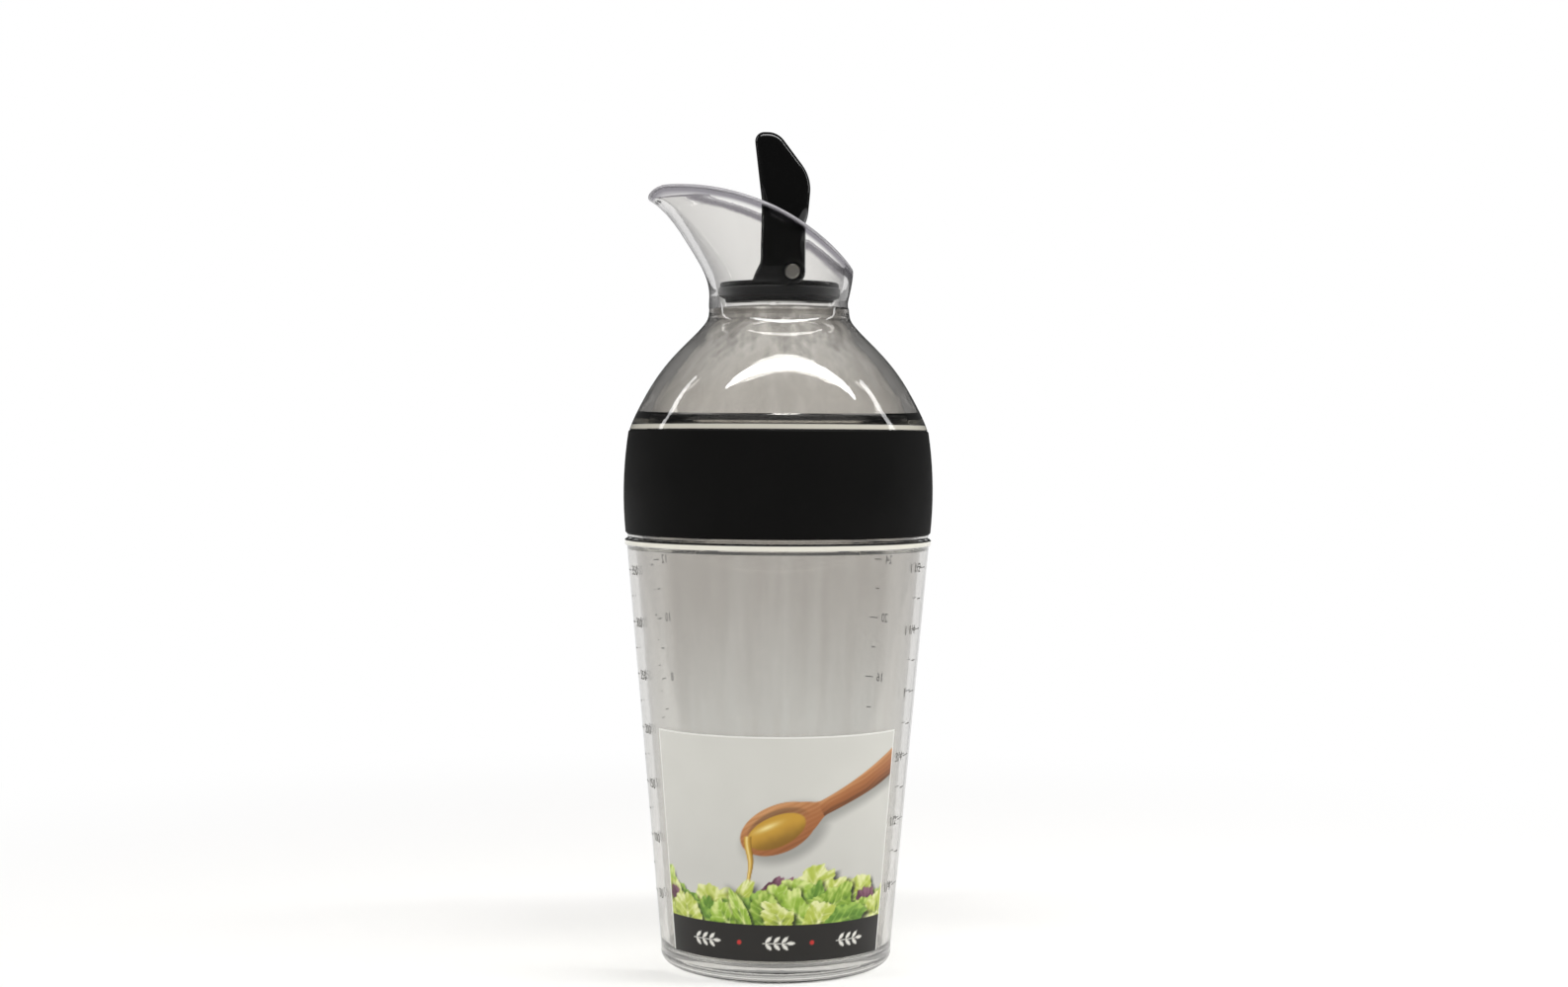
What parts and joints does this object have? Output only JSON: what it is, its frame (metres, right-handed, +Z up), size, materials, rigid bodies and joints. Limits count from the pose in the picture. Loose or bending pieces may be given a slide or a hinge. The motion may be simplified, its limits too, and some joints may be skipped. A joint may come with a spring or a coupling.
{
  "type": "salad dressing shaker bottle",
  "caption": "Clear tapered dressing shaker with a screw lid, soft grip band, beaked pouring spout and a lever that tips a sealing valve.",
  "frame": {"origin": "centre of the foot ring's plane, on the bottle's axis", "axes": "+Z up along the bottle's axis, the spout's beak points to -X, the label faces -Y"},
  "size_m": [0.083, 0.083, 0.2216],
  "materials": {
    "clear_plastic": "clear gloss",
    "label_print": "printed film label",
    "black_silicone": "matte",
    "black_soft_grip": "matte soft touch",
    "black_gloss_plastic": "polished",
    "pin_steel": "ground"
  },
  "bodies": {
    "bottle_body": {"bottle": "clear_plastic", "front_label": "label_print"},
    "gasket_ring": {"lid_gasket": "black_silicone"},
    "lid": {"lid_dome": "clear_plastic", "grip_band": "black_soft_grip", "pour_spout": "clear_plastic"},
    "lever": {"pour_lever": "black_gloss_plastic", "pivot_pin": "pin_steel", "valve_seal": "black_silicone"}
  },
  "joints": [
    {"name": "lid_lift", "type": "slide", "parent": "bottle_body", "child": "gasket_ring", "axis": [0, 0, 1], "range_m": [0, 0.0312]},
    {"name": "lid_turn", "type": "hinge", "parent": "gasket_ring", "child": "lid", "pos_m": [0, 0, 0.143], "axis": [0, 0, 1], "range_deg": [0, 936]},
    {"name": "lever_tilt", "type": "hinge", "parent": "lid", "child": "lever", "pos_m": [0.0034, 0, 0.1837], "axis": [0, 1, 0], "range_deg": [0, 40]}
  ],
  "couplings": [
    {"joint": "lid_lift", "follows": "lid_turn", "m_per_rad": 0.0019099}
  ]
}
